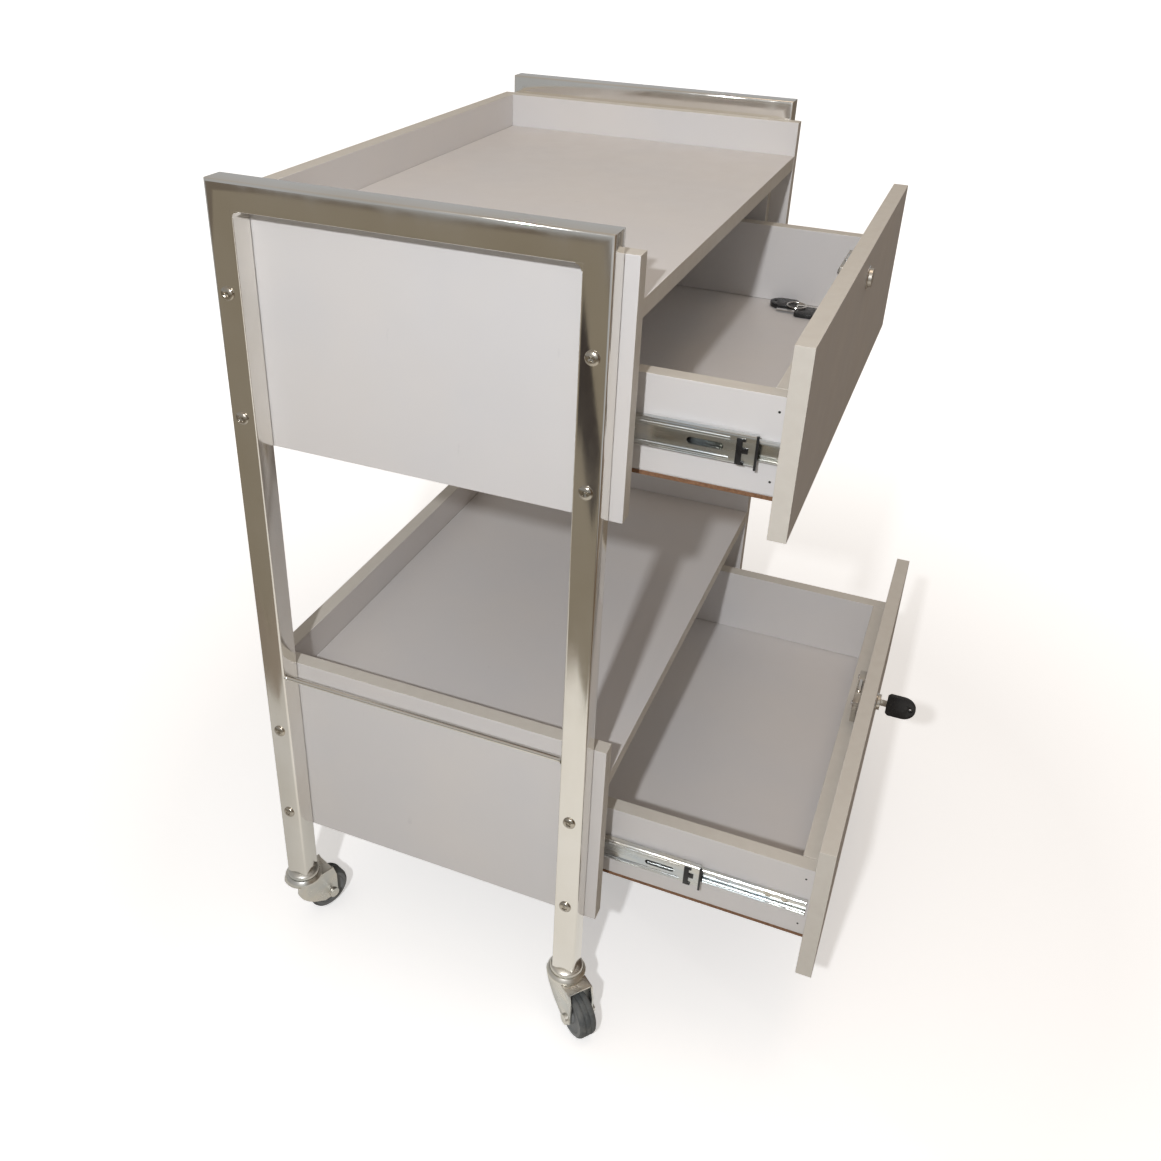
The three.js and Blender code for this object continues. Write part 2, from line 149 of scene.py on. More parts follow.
def chrome(name):
    """Polished chrome plate: hairline polish marks along the tube and the odd dull smear."""
    look = Look(name, Metallic=1.0, Roughness=0.07)
    film = look.remap(look.noise(9, 4), 0, 1)
    look.feed("Base Color", look.tint(film, (0.80, 0.77, 0.71), (0.86, 0.84, 0.80)))
    smear = look.remap(look.noise(26, 6, (1, 1, 0.35), 0.65), 0.045, 0.16)
    look.feed("Roughness", smear)
    look.bump(look.noise(420, 5, (1, 1, 0.04), 0.7), 0.05, 0.0003)
    look.bump(look.noise(14, 2, (1, 1, 0.5)), 0.12, 0.0016)
    return look.material


def zinc(name, blue, gold, roughness):
    """Bright zinc plate: grey metal with faint blue and straw patches and drawn marks."""
    look = Look(name, Metallic=1.0, Roughness=roughness)
    patch = look.remap(look.noise(38, 5, (1, 0.4, 1), 0.6), 0, 1)
    look.feed("Base Color", look.tint(patch, blue, gold))
    look.feed("Roughness", look.remap(look.noise(90, 6, (1, 0.1, 1)), roughness - 0.08, roughness + 0.1))
    look.bump(look.noise(700, 4, (1, 0.05, 1), 0.6), 0.1, 0.0003)
    look.bump(look.noise(60, 3), 0.1, 0.0006)
    return look.material


def moulded_plastic(name, color, worn, roughness):
    """Moulded plastic with a fine grain, worn lighter in places."""
    look = Look(name, Roughness=roughness, IOR=1.49)
    wear = look.remap(look.noise(130, 6, (1, 1, 1), 0.7), 0, 1, 0.55, 0.75)
    look.feed("Base Color", look.tint(wear, color, worn))
    look.feed("Roughness", look.remap(look.noise(200, 4), roughness - 0.07, roughness + 0.12))
    look.bump(look.noise(1500, 3), 0.25, 0.0003)
    return look.material


def rubber(name):
    """Grey rubber, dusty in patches."""
    look = Look(name, Roughness=0.72, IOR=1.5)
    dust = look.remap(look.noise(95, 7, (1, 1, 1), 0.7), 0, 1, 0.4, 0.68)
    look.feed("Base Color", look.tint(dust, (0.085, 0.095, 0.1), (0.17, 0.175, 0.17)))
    look.feed("Roughness", look.remap(look.noise(150, 5), 0.6, 0.85))
    look.bump(look.noise(1100, 4), 0.35, 0.0004)
    return look.material


def hardboard(name):
    """Brown pressed-fibre board, with short dark and light fibres."""
    look = Look(name, Roughness=0.8, IOR=1.45)
    fibre = look.remap(look.noise(520, 6, (0.35, 1, 1), 0.75), 0, 1)
    patch = look.remap(look.noise(22, 4), 0, 1)
    dark = look.tint(patch, (0.14, 0.068, 0.034), (0.19, 0.095, 0.05))
    look.feed("Base Color", look.tint(fibre, dark, (0.30, 0.16, 0.085)))
    look.bump(look.noise(900, 5), 0.4, 0.0005)
    return look.material


LAMINATE = laminate("laminate_white", (0.700, 0.690, 0.692), (0.725, 0.704, 0.690))
EDGE = edge_band("edge_band_beige")
CHROME = chrome("chrome_tube")
SLIDE_ZINC = zinc("zinc_slide", (0.52, 0.57, 0.61), (0.66, 0.64, 0.58), 0.22)
LOCK_ZINC = zinc("zinc_lock", (0.56, 0.54, 0.50), (0.70, 0.64, 0.55), 0.3)
CASTER_ZINC = zinc("zinc_caster", (0.62, 0.63, 0.61), (0.76, 0.72, 0.64), 0.32)
SCREW_STEEL = zinc("screw_steel", (0.42, 0.40, 0.36), (0.57, 0.51, 0.42), 0.22)
NICKEL = zinc("nickel_screw", (0.70, 0.70, 0.69), (0.78, 0.75, 0.70), 0.2)
BLACK_PLASTIC = moulded_plastic("black_plastic", (0.010, 0.010, 0.011), (0.03, 0.03, 0.032), 0.3)
GREY_PLASTIC = moulded_plastic("grey_hub_plastic", (0.20, 0.21, 0.215), (0.27, 0.27, 0.26), 0.5)
RUBBER = rubber("grey_rubber")
HARDBOARD = hardboard("hardboard_brown")
# Painted shade: the near-black nail heads stand in for the shade in each sunk nail's hole.
NAIL_HOLE_PAINTED_SHADE = moulded_plastic("nail_hole_painted_shade", (0.02, 0.018, 0.016), (0.035, 0.03, 0.026), 0.8)


# ---------------------------------------------------------------- mesh helpers

def publish(name, mesh, materials, body, smooth_angle=35, flat_sides=False):
    """Turns a finished bmesh into a piece that rides on a CAD body.

    With flat_sides, faces square to an axis are shaded flat, so the rounded edges beside them don't bend
    their shading. Without it a large face with a hole in it shows creases that are not in its shape.
    """
    bmesh.ops.recalc_face_normals(mesh, faces=mesh.faces)
    mesh.normal_update()
    for face in mesh.faces:
        face.smooth = not (flat_sides and max(abs(part) for part in face.normal) > 0.999)
    for edge in mesh.edges:
        edge.smooth = not (edge.is_manifold and edge.calc_face_angle() > math.radians(smooth_angle))
    data = bpy.data.meshes.new(name)
    mesh.to_mesh(data)
    mesh.free()
    for material in materials:
        data.materials.append(material)
    piece = bpy.data.objects.new(name, data)
    bpy.context.scene.collection.objects.link(piece)
    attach(piece, body)
    return piece


def body_of_node(node):
    """The name of the moving body that a CAD node belongs to."""
    for body, nodes in frame["record"]["behaviour"]["bodies"].items():
        if node in nodes:
            return body


def cad_mesh(node):
    """The CAD node's surface as a clean bmesh: shared corners, and flat faces in one piece."""
    mesh = bmesh.new()
    mesh.from_mesh(NODES[node].data)
    bmesh.ops.remove_doubles(mesh, verts=mesh.verts, dist=2e-6)
    bmesh.ops.dissolve_limit(mesh, angle_limit=math.radians(0.5), verts=mesh.verts, edges=mesh.edges)
    return mesh


def round_edges(mesh, width, segments=2, angle=30):
    """Bevels every edge that turns by more than the angle, in degrees."""
    sharp = [e for e in mesh.edges if e.is_manifold and e.calc_face_angle() > math.radians(angle)]
    bmesh.ops.bevel(mesh, geom=sharp, offset=width, segments=segments, profile=0.5,
                    affect="EDGES", clamp_overlap=True)


def refined(node, material, width, segments=2, angle=30):
    """The CAD node with its edges rounded, standing in for it."""
    mesh = cad_mesh(node)
    round_edges(mesh, width, segments, angle)
    piece = publish(node + "_finished", mesh, [material], body_of_node(node))
    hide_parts(node)


def add_box(mesh, low, high):
    """Adds a box between two opposite corners and returns its vertices."""
    corners = bmesh.ops.create_cube(mesh, size=1)["verts"]
    size = Vector(high) - Vector(low)
    middle = (Vector(high) + Vector(low)) / 2
    for corner in corners:
        corner.co = Vector(c * s for c, s in zip(corner.co, size)) + middle
    return corners


def add_lathe(mesh, profile, axis_to, place, sides=48):
    """A surface of revolution. Profile points are (radius, height along the axis)."""
    turn = Vector((0, 0, 1)).rotation_difference(Vector(axis_to).normalized()).to_matrix()
    rings = []
    for radius, height in profile:
        if radius < 1e-7:
            rings.append([mesh.verts.new(turn @ Vector((0, 0, height)) + Vector(place))])
            continue
        ring = []
        for i in range(sides):
            a = 2 * math.pi * i / sides
            ring.append(mesh.verts.new(
                turn @ Vector((radius * math.cos(a), radius * math.sin(a), height)) + Vector(place)))
        rings.append(ring)
    for lower, upper in zip(rings, rings[1:]):
        for i in range(sides):
            j = (i + 1) % sides
            corners = [lower[i % len(lower)], lower[j % len(lower)],
                       upper[j % len(upper)], upper[i % len(upper)]]
            unique = list(dict.fromkeys(corners))
            if len(unique) > 2:
                mesh.faces.new(unique)
    return rings


def add_prism(mesh, outline, start, end):
    """Joins an outline, a list of points, from its place at `start` to its place at `end`."""
    first = [mesh.verts.new(Vector(p) + Vector(start)) for p in outline]
    last = [mesh.verts.new(Vector(p) + Vector(end)) for p in outline]
    count = len(outline)
    for i in range(count):
        j = (i + 1) % count
        mesh.faces.new([first[i], first[j], last[j], last[i]])
    mesh.faces.new(first[::-1])
    mesh.faces.new(last)


def arc(center, radius, start, end, steps):
    """Points on an arc, as (a, b) pairs, with angles in degrees."""
    points = []
    for i in range(steps + 1):
        a = math.radians(start + (end - start) * i / steps)
        points.append((center[0] + radius * math.cos(a), center[1] + radius * math.sin(a)))
    return points


# ---------------------------------------------------------------- boards

BOARD_ROUND = 0.6 * MM
HARDBOARD_ROUND = 0.3 * MM


def board(node, thickness_axis):
    """A laminated board: pale faces, beige banded edges with a small round."""
    mesh = cad_mesh(node)
    round_edges(mesh, BOARD_ROUND)
    mesh.normal_update()
    for face in mesh.faces:
        face.material_index = 0 if abs(face.normal[thickness_axis]) > 0.9 else 1
    piece = publish(node + "_finished", mesh, [LAMINATE, EDGE], body_of_node(node),
                    flat_sides=True)
    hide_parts(node)


def drawer_bottom(node):
    """Thin brown hardboard with a pale laminated upper face."""
    mesh = cad_mesh(node)
    round_edges(mesh, HARDBOARD_ROUND)
    mesh.normal_update()
    for face in mesh.faces:
        face.material_index = 1 if face.normal.z > 0.9 else 0
    piece = publish(node + "_finished", mesh, [HARDBOARD, LAMINATE], body_of_node(node),
                    flat_sides=True)
    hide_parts(node)


for level in ("upper", "lower"):
    for side in ("left", "right"):
        board(f"{level}_{side}_panel", X)
        board(f"{level}_{side}_spacer", X)
        board(f"{level}_drawer_{side}_side", X)
    board(f"{level}_back_panel", Y)
    board(f"{level}_drawer_front", Y)
    board(f"{level}_drawer_inner_front", Y)
    board(f"{level}_drawer_back", Y)
    drawer_bottom(f"{level}_drawer_bottom")
board("top_tray_board", Z)
board("middle_shelf_board", Z)


# ---------------------------------------------------------------- side frames

TUBE = 25 * MM
TUBE_EDGE = 2.4 * MM
TUBE_WALL = 1.5 * MM
FRAME_CORNER = 6 * MM
WELD_RADIUS = 5 * MM
ROD_RADIUS = 2.5 * MM
ROD_HEIGHT = 363 * MM
ROD_INSET = 3.6 * MM
COLLAR_WIDTH = 3 * MM
COLLAR_RISE = 1.3 * MM
POST_SCREW_RADIUS = 6.4 * MM
POST_SCREW_HEIGHT = 3.2 * MM
POST_SCREW_SHIFT = 0.5 * MM
SCREW_HEIGHTS = [v * MM for v in (770.5, 654.5, 290, 173.5)]
OUTER_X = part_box("right_side_frame")[1].x


def rounded_square(half, radius, steps=4):
    """The tube's cross-section as (a, b) points round its centre."""
    points = []
    for quarter, (sx, sy) in enumerate(((1, 1), (-1, 1), (-1, -1), (1, -1))):
        center = (sx * (half - radius), sy * (half - radius))
        points += arc(center, radius, 90 * quarter, 90 * quarter + 90, steps)
    return points


def side_frame(node):
    """The arch of bright tube. Returns its middle in X and the centre lines of its two posts in Y."""
    low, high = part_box(node)
    half = TUBE / 2
    x = (low.x + high.x) / 2
    front, back, top = low.y + half, high.y - half, high.z - half
    section = rounded_square(half, TUBE_EDGE)
    # The tube's centre line runs up, across and down. At every station `out` points out of the arch.
    mitre = 1 / math.sqrt(2)
    stations = [
        (Vector((x, front, low.z)), Vector((0, -1, 0)), 1),
        (Vector((x, front, top)), Vector((0, -mitre, mitre)), math.sqrt(2)),
        (Vector((x, back, top)), Vector((0, mitre, mitre)), math.sqrt(2)),
        (Vector((x, back, low.z)), Vector((0, 1, 0)), 1),
    ]
    mesh = bmesh.new()
    rings = []
    for center, out, stretch in stations:
        rings.append([mesh.verts.new(center + Vector((a, 0, 0)) + out * b * stretch) for a, b in section])
    for lower, upper in zip(rings, rings[1:]):
        for i in range(len(section)):
            j = (i + 1) % len(section)
            mesh.faces.new([lower[i], lower[j], upper[j], upper[i]])
    corners = set(rings[1] + rings[2])
    outer_seams = [e for e in mesh.edges if set(e.verts) <= corners and e.verts[0].co.z > top
                   and e.calc_face_angle() > math.radians(60)]
    bmesh.ops.bevel(mesh, geom=outer_seams, offset=FRAME_CORNER, segments=5, profile=0.5, affect="EDGES")
    # Each post ends open, with the wall's thickness showing.
    inner = rounded_square(half - TUBE_WALL, TUBE_EDGE - TUBE_WALL)
    seen_depth = 30 * MM
    for ring, y, outward in ((rings[0], front, -1), (rings[3], back, 1)):
        rim = [mesh.verts.new((x + a, y + outward * b, low.z)) for a, b in inner]
        deep = [mesh.verts.new((x + a, y + outward * b, low.z + seen_depth)) for a, b in inner]
        for i in range(len(inner)):
            j = (i + 1) % len(inner)
            mesh.faces.new([ring[i], ring[j], rim[j], rim[i]])
            mesh.faces.new([rim[i], rim[j], deep[j], deep[i]])
        mesh.faces.new(deep)
    piece = publish(node + "_tube", mesh, [CHROME], "cabinet", 50)
    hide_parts(node)
    return x, front, back


def corner_weld(name, x, y, z, inward):
    """The ground weld that fills the inside corner between a post and the top rail."""
    buried = 1 * MM
    half = TUBE / 2 - 0.3 * MM
    outline = [(-buried, -buried), (WELD_RADIUS, -buried)]
    outline += arc((WELD_RADIUS, WELD_RADIUS), WELD_RADIUS, 270, 180, 8)
    outline += [(-buried, WELD_RADIUS)]
    mesh = bmesh.new()
    placed = [(0, y + inward * along, z - down) for along, down in outline]
    add_prism(mesh, placed, (x - half, 0, 0), (x + half, 0, 0))
    round_edges(mesh, 0.0008, 3, 60)
    publish(name, mesh, [CHROME], "cabinet")


def frame_rod(name, side, front, back):
    """The thin rod between the posts, with a small weld collar at each end."""
    start, end = front + TUBE / 2, back - TUBE / 2
    length = end - start
    collar = [(ROD_RADIUS + rise * COLLAR_RISE, along * COLLAR_WIDTH)
              for rise, along in ((1, 0), (0.8, 0.2), (0.2, 0.6), (0, 1))]
    steps = 20
    profile = list(collar)
    for i in range(1, steps):
        profile.append((ROD_RADIUS, COLLAR_WIDTH + (length - 2 * COLLAR_WIDTH) * i / steps))
    profile += [(radius, length - along) for radius, along in reversed(collar)]
    mesh = bmesh.new()
    rings = add_lathe(mesh, profile, (0, 1, 0), (side * (OUTER_X - ROD_INSET), start, ROD_HEIGHT), 20)
    mesh.faces.new(rings[0][::-1])
    mesh.faces.new(rings[-1])
    publish(name, mesh, [CHROME], "cabinet")


def dome_screw(name, place, axis, head_radius, head_height, body, material):
    """A domed cross-head screw whose head stands on `place` and looks along `axis`."""
    rim_height = 0.16 * head_height
    dome_height = head_height - rim_height
    steps = 8
    profile = [(head_radius, 0), (head_radius, rim_height)]
    for i in range(1, steps):
        a = math.radians(90 * i / steps)
        profile.append((head_radius * math.cos(a), rim_height + dome_height * math.sin(a)))
    profile.append((0, head_height))
    mesh = bmesh.new()
    rings = add_lathe(mesh, profile, (0, 0, 1), (0, 0, 0), 40)
    mesh.faces.new(rings[0][::-1])
    # The cross recess: the dome is pressed down inside a plus sign with rounded ends.
    crown = [e for e in mesh.edges if min(v.co.z for v in e.verts) > 0.3 * head_height]
    bmesh.ops.subdivide_edges(mesh, edges=crown, cuts=1, use_grid_fill=True)
    arm, half_width = 0.42 * head_radius, 0.16 * head_radius
    for vert in mesh.verts:
        across = min(abs(vert.co.x), abs(vert.co.y))
        along = max(abs(vert.co.x), abs(vert.co.y))
        if vert.co.z > 0.3 * head_height and across < half_width and along < arm:
            vert.co.z -= 0.5 * head_height * (1 - along / arm) ** 0.5
    turn = Vector((0, 0, 1)).rotation_difference(Vector(axis)).to_matrix().to_4x4()
    spin = Matrix.Rotation(random.uniform(0, math.pi / 2), 4, "Z")
    bmesh.ops.transform(mesh, matrix=Matrix.Translation(place) @ turn @ spin, verts=mesh.verts)
    publish(name, mesh, [material], body)


for side, sign in (("left", -1), ("right", 1)):
    arch = f"{side}_side_frame"
    x, front, back = side_frame(arch)
    frame_rod(arch + "_rod", sign, front, back)
    under_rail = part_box(arch)[1].z - TUBE
    corner_weld(f"{side}_front_corner_weld", x, front + TUBE / 2, under_rail, 1)
    corner_weld(f"{side}_back_corner_weld", x, back - TUBE / 2, under_rail, -1)
    for post, y in (("front", front), ("back", back)):
        for index, z in enumerate(SCREW_HEIGHTS):
            place = (sign * OUTER_X, y + POST_SCREW_SHIFT, z)
            dome_screw(f"{side}_{post}_post_screw_{index + 1}", place, (sign, 0, 0),
                       POST_SCREW_RADIUS, POST_SCREW_HEIGHT, "cabinet", SCREW_STEEL)


# ---------------------------------------------------------------- drawer slides

SLIDE_SKIN = 1.2 * MM
RIB_HALF_WIDTH = 1.9 * MM
RIB_HEIGHT = 1.1 * MM
RIB_OFFSET = 9.0 * MM
SLIDE_SCREW_RADIUS = 3.2 * MM
SLIDE_SCREW_HEIGHT = 1.3 * MM
SLIDE_SCREWS = (21.5 * MM, 38.5 * MM)
# A slot is (start, end, half width), measured from the channel's front end.
CABINET_CHANNEL = {
    "height": 35 * MM, "lip": 1.2 * MM, "bend": 2.2 * MM,
    "slots": [(28 * MM, 36 * MM, 2.2 * MM), (120 * MM, 135 * MM, 2.2 * MM), (220 * MM, 228 * MM, 2.2 * MM)],
}
MIDDLE_CHANNEL = {
    "height": 27 * MM, "lip": 1.0 * MM, "bend": 2.2 * MM,
    "slots": [(27 * MM, 58 * MM, 3.1 * MM), (150 * MM, 190 * MM, 3.1 * MM)],
}
DRAWER_CHANNEL = {
    "height": 19 * MM, "lip": 0.8 * MM, "bend": 2.0 * MM,
    "slots": [(78 * MM, 92 * MM, 2.1 * MM), (200 * MM, 214 * MM, 2.1 * MM)],
}


def channel_outline(web, edge, height, lip, bend):
    """A bent strip as a closed outline in (x, z): web at `web`, flanges to `edge`, curled lips."""
    inward = 1 if edge > web else -1
    half = height / 2
    bend_z = bend - half
    tight = bend - SLIDE_SKIN

    def quarter_at_edge(radius, start, end):
        center = abs(edge - web) - bend
        return [(web + inward * a, b) for a, b in arc((center, bend_z), radius, start, end, 3)]

    def quarter_at_web(radius, start, end):
        return [(web + inward * a, b) for a, b in arc((bend, bend_z), radius, start, end, 3)]

    outer = quarter_at_web(bend, 180, 270) + quarter_at_edge(bend, 270, 360)
    outer.append((edge, bend_z + lip))
    inner = [(edge - inward * SLIDE_SKIN, bend_z + lip)]
    inner += quarter_at_edge(tight, 360, 270) + quarter_at_web(tight, 270, 180)
    upper_outer = [(x, -z) for x, z in outer]
    upper_inner = [(x, -z) for x, z in inner]
    return outer + inner + upper_inner[::-1] + upper_outer[::-1]


def cut_with(piece_mesh, cutter_mesh):
    """Cuts one closed bmesh out of another and returns the result as a bmesh."""
    objects = []
    for mesh in (piece_mesh, cutter_mesh):
        bmesh.ops.recalc_face_normals(mesh, faces=mesh.faces)
        data = bpy.data.meshes.new("working")
        mesh.to_mesh(data)
        mesh.free()
        item = bpy.data.objects.new("working", data)
        bpy.context.scene.collection.objects.link(item)
        objects.append(item)
    body, cutter = objects
    modifier = body.modifiers.new("cut", "BOOLEAN")
    modifier.object = cutter
    modifier.operation = "DIFFERENCE"
    modifier.solver = "EXACT"
    evaluated = body.evaluated_get(bpy.context.evaluated_depsgraph_get())
    result = bmesh.new()
    result.from_mesh(evaluated.to_mesh())
    evaluated.to_mesh_clear()
    for item in objects:
        data = item.data
        bpy.data.objects.remove(item)
        bpy.data.meshes.remove(data)
    return result


def slot_cutter(mesh, x0, x1, y0, y1, z, half_width):
    """A slot-shaped block through a slide's web, long in Y."""
    outline = arc((y1 - half_width, z), half_width, -90, 90, 8)
    outline += arc((y0 + half_width, z), half_width, 90, 270, 8)
    add_prism(mesh, [(0, a, b) for a, b in outline], (x0, 0, 0), (x1, 0, 0))


def slide_channel(node, web_outward, height, lip, bend, slots):
    """One channel of a slide. Its web faces away from the trolley's middle if web_outward."""
    low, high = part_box(node)
    left = low.x + high.x < 0
    web_low = left == web_outward
    web, edge = (low.x, high.x) if web_low else (high.x, low.x)
    z = (low.z + high.z) / 2
    outline = [(a, 0, b) for a, b in channel_outline(web, edge, height, lip, bend)]
    mesh = bmesh.new()
    add_prism(mesh, outline, (0, low.y, z), (0, high.y, z))
    cutter = bmesh.new()
    for start, end, half_width in slots:
        slot_cutter(cutter, web - 2 * MM, web + 2 * MM, low.y + start, low.y + end, z, half_width)
    mesh = cut_with(mesh, cutter)
    piece = publish(node + "_finished", mesh, [SLIDE_ZINC], body_of_node(node), 28)
    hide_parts(node)
    return low, high, web, z


def middle_ribs(name, low, high, web, z, body):
    """Two long pressed ribs, round on top, that stand proud of the middle channel's web."""
    outward = -1 if web < 0 else 1
    mesh = bmesh.new()
    for dz in (-RIB_OFFSET, RIB_OFFSET):
        outline = [(web + outward * RIB_HEIGHT * b, 0, z + dz + RIB_HALF_WIDTH * a)
                   for a, b in arc((0, 0.02), 1, 180, 0, 8)]
        add_prism(mesh, outline, (0, low.y + 22 * MM, 0), (0, high.y - 12 * MM, 0))
    publish(name, mesh, [SLIDE_ZINC], body)


def latch_clip(name, low, web, z, body):
    """The black clip at the middle channel's front end: a bar, a wider plate and three short arms."""
    outward = -1 if web < 0 else 1
    mesh = bmesh.new()

    def block(y0, y1, z0, z1, depth):
        """A rounded block, in millimetres from the channel's front end and its middle height."""
        xs = sorted((web - outward * 0.2 * MM, web + outward * depth * MM))
        corners = add_box(mesh, (xs[0], low.y + y0 * MM, z + z0 * MM), (xs[1], low.y + y1 * MM, z + z1 * MM))
        edges = {e for v in corners for e in v.link_edges}
        bmesh.ops.bevel(mesh, geom=list(edges), offset=0.3 * MM, segments=2, profile=0.5, affect="EDGES")

    block(-1.6, 0.6, -15.5, 15.0, 1.8)
    block(11.5, 16.5, -12.8, 10.5, 1.4)
    block(6.5, 12.0, -2.5, 2.5, 1.2)
    block(9.0, 12.0, 8.0, 10.5, 1.3)
    block(9.0, 12.0, -12.8, -10.0, 1.3)
    publish(name, mesh, [BLACK_PLASTIC], body)


for level in ("upper", "lower"):
    for side, sign in (("left", -1), ("right", 1)):
        stem = f"{level}_{side}"
        slide_channel(f"{stem}_cabinet_channel", True, **CABINET_CHANNEL)
        low, high, web, z = slide_channel(f"{stem}_middle_channel", True, **MIDDLE_CHANNEL)
        middle_ribs(f"{stem}_middle_ribs", low, high, web, z, f"{level}_slide_stage")
        latch_clip(f"{stem}_latch_clip", low, web, z, f"{level}_slide_stage")
        low, high, web, z = slide_channel(f"{stem}_drawer_channel", False, **DRAWER_CHANNEL)
        face = web + sign * SLIDE_SKIN
        for index, behind in enumerate(SLIDE_SCREWS):
            dome_screw(f"{stem}_slide_screw_{index + 1}", (face, low.y + behind, z), (sign, 0, 0),
                       SLIDE_SCREW_RADIUS, SLIDE_SCREW_HEIGHT, f"{level}_drawer", LOCK_ZINC)


# ---------------------------------------------------------------- nails in the drawer sides

NAIL_FROM_END = 8 * MM
NAIL_DROPS = (13.5 * MM, 76 * MM)


def nail_head(name, place, axis, body):
    """The small head of a sunk nail, barely proud of the board, painted near black as painted shade of its sunk
    hole.
    """
    profile = [(1.1 * MM, 0), (1.0 * MM, 0.12 * MM), (0.7 * MM, 0.2 * MM), (0, 0.22 * MM)]
    mesh = bmesh.new()
    rings = add_lathe(mesh, profile, axis, place, 16)
    mesh.faces.new(rings[0][::-1])
    publish(name, mesh, [NAIL_HOLE_PAINTED_SHADE], body)


for level in ("upper", "lower"):
    for side, sign in (("left", -1), ("right", 1)):
        low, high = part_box(f"{level}_drawer_{side}_side")
        outer = low.x if sign < 0 else high.x
        places = [(y, high.z - drop) for y in (low.y + NAIL_FROM_END, high.y - NAIL_FROM_END)
                  for drop in NAIL_DROPS]
        for index, (y, z) in enumerate(places):
            nail_head(f"{level}_{side}_nail_{index + 1}", (outer, y, z), (sign, 0, 0), f"{level}_drawer")


# ---------------------------------------------------------------- locks and keys

EAR_HEIGHT = 12 * MM
EAR_SCREW_X = 26 * MM
EAR_SCREW_RADIUS = 3.4 * MM
EAR_SCREW_HEIGHT = 1.6 * MM
HOUSING_ROUND = 0.5 * MM
BOLT_ROUND = 0.6 * MM
PLUG_ROUND = 0.3 * MM
KEY_ROUND = 0.4 * MM
KEY_RING_ROUND = 0.1 * MM
BLADE_HALF = 0.9 * MM


def lock(level):
    """A lock's housing, bolt and plug, with the ring round its barrel and its two screws."""
    body = f"{level}_drawer"
    refined(f"{level}_lock_housing", LOCK_ZINC, HOUSING_ROUND, angle=40)
    refined(f"{level}_lock_bolt", NICKEL, BOLT_ROUND)
    refined(f"{level}_lock_plug", NICKEL, PLUG_ROUND, angle=50)
    housing_back_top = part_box(f"{level}_lock_housing")[1]
    drawer_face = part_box(f"{level}_drawer_front")[0].y
    plug_low, plug_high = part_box(f"{level}_lock_plug")
    z = (plug_low.z + plug_high.z) / 2
    # A thin stepped ring round the barrel, tight against the drawer front.
    ring = [(9.3 * MM, 0.05 * MM), (11 * MM, 0.05 * MM), (11 * MM, 0.7 * MM), (10.4 * MM, 1.5 * MM),
            (9.3 * MM, 1.7 * MM), (9.3 * MM, 0.05 * MM)]
    mesh = bmesh.new()
    add_lathe(mesh, ring, (0, -1, 0), (0, drawer_face, z), 48)
    publish(f"{level}_lock_ring", mesh, [NICKEL], body)
    # Two screws hold the housing's ears to the back of the drawer front.
    for index, x in enumerate((-EAR_SCREW_X, EAR_SCREW_X)):
        place = (x, housing_back_top.y, housing_back_top.z - EAR_HEIGHT / 2)
        dome_screw(f"{level}_housing_screw_{index + 1}", place, (0, 1, 0),
                   EAR_SCREW_RADIUS, EAR_SCREW_HEIGHT, body, NICKEL)


def split_key(node, body):
    """A key in two materials: a black head with rounded edges, and a bright steel blade."""
    low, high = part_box(node)
    size = high - low
    thin = min((X, Y, Z), key=lambda axis: size[axis])
    middle = (low[thin] + high[thin]) / 2
    mesh = cad_mesh(node)
    round_edges(mesh, KEY_ROUND, angle=40)
    for face in mesh.faces:
        blade = all(abs(vert.co[thin] - middle) < BLADE_HALF for vert in face.verts)
        face.material_index = 1 if blade else 0
    piece = publish(node + "_finished", mesh, [BLACK_PLASTIC, NICKEL], body)
    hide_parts(node)


lock("upper")
lock("lower")
split_key("lock_key", "lower_lock_plug")
split_key("spare_key_1", "upper_drawer")
split_key("spare_key_2", "upper_drawer")
refined("spare_key_ring", NICKEL, KEY_RING_ROUND, 1, 80)


# ---------------------------------------------------------------- casters

FORK_ROUND = 0.4 * MM
WHEEL_ROUND = 0.25 * MM
HUB_RADIUS = 17.5 * MM


def caster_wheel(corner):
    """A rubber tyre on a plastic hub, told apart by their distance from the axle."""
    node = f"{corner}_caster_wheel"
    mesh = cad_mesh(node)
    low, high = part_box(node)
    center = (low + high) / 2
    joint = next(j for j in frame["joints"] if j["name"] == f"{corner}_roll")
    axle = Vector(joint["axis"])
    round_edges(mesh, WHEEL_ROUND, angle=40)
    for face in mesh.faces:
        arm = face.calc_center_median() - center
        radius = (arm - axle * arm.dot(axle)).length
        face.material_index = 0 if radius > HUB_RADIUS else 1
    wheel = publish(f"{corner}_wheel_finished", mesh, [RUBBER, GREY_PLASTIC], f"{corner}_wheel",
                    30)
    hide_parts(node)


for corner in ("front_left", "front_right", "back_left", "back_right"):
    refined(f"{corner}_caster_stem", CASTER_ZINC, FORK_ROUND, angle=32)
    refined(f"{corner}_caster_fork", CASTER_ZINC, FORK_ROUND, angle=32)
    caster_wheel(corner)


# ---------------------------------------------------------------- stage, lights and camera

def staged_plane(name, size, place, turn, material, seen_by):
    """A plane that is not part of the object. seen_by lists the kinds of ray that see it."""
    mesh = bmesh.new()
    bmesh.ops.create_grid(mesh, x_segments=1, y_segments=1, size=0.5)
    data = bpy.data.meshes.new(name)
    mesh.to_mesh(data)
    mesh.free()
    data.materials.append(material)
    plane = bpy.data.objects.new(name, data)
    plane.scale = (size[0], size[1], 1)
    plane.location = place
    plane.rotation_euler = turn
    bpy.context.scene.collection.objects.link(plane)
    plane.visible_camera = "camera" in seen_by
    plane.visible_diffuse = "diffuse" in seen_by
    plane.visible_glossy = "glossy" in seen_by
    plane.visible_transmission = False
    plane.visible_shadow = False


